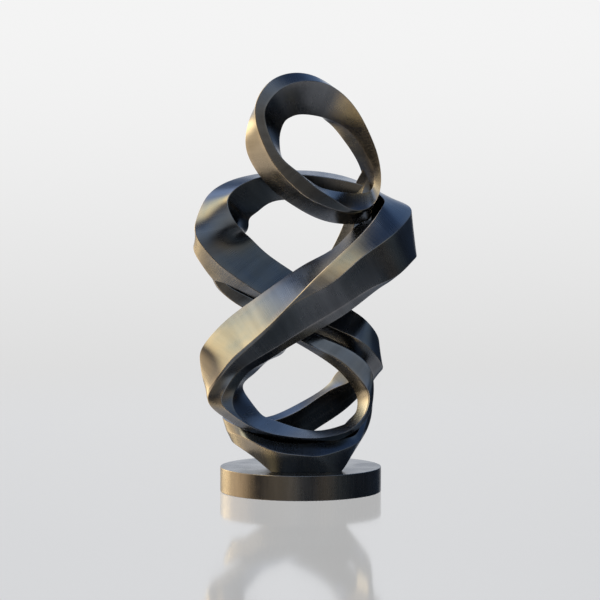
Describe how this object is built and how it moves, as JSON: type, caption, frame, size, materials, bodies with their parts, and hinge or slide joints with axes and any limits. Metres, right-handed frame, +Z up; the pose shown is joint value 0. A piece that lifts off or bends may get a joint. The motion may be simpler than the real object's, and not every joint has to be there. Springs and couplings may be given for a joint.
{
  "type": "abstract metal sculpture",
  "caption": "Tall abstract sculpture: a dark bronze box-section ribbon that twists through crossing loops to a slanted ring on top, fused together and standing on a flat round plinth.",
  "frame": {"origin": "centre of the plinth's flat underside, on the surface that the sculpture stands on", "axes": "+Z up, -Y towards the viewer's side where the long diagonal passes in front, +X to that viewer's right"},
  "size_m": [1.068, 0.77, 1.992],
  "materials": {
    "plinth_metal": "dark bronze patina, satin, faint upright brush lines on the side",
    "ribbon_metal": "dark bronze patina, satin sheen, brushed along the ribbon, slightly brighter edges"
  },
  "bodies": {
    "root": {"plinth": "plinth_metal", "ribbon": "ribbon_metal"}
  },
  "joints": []
}
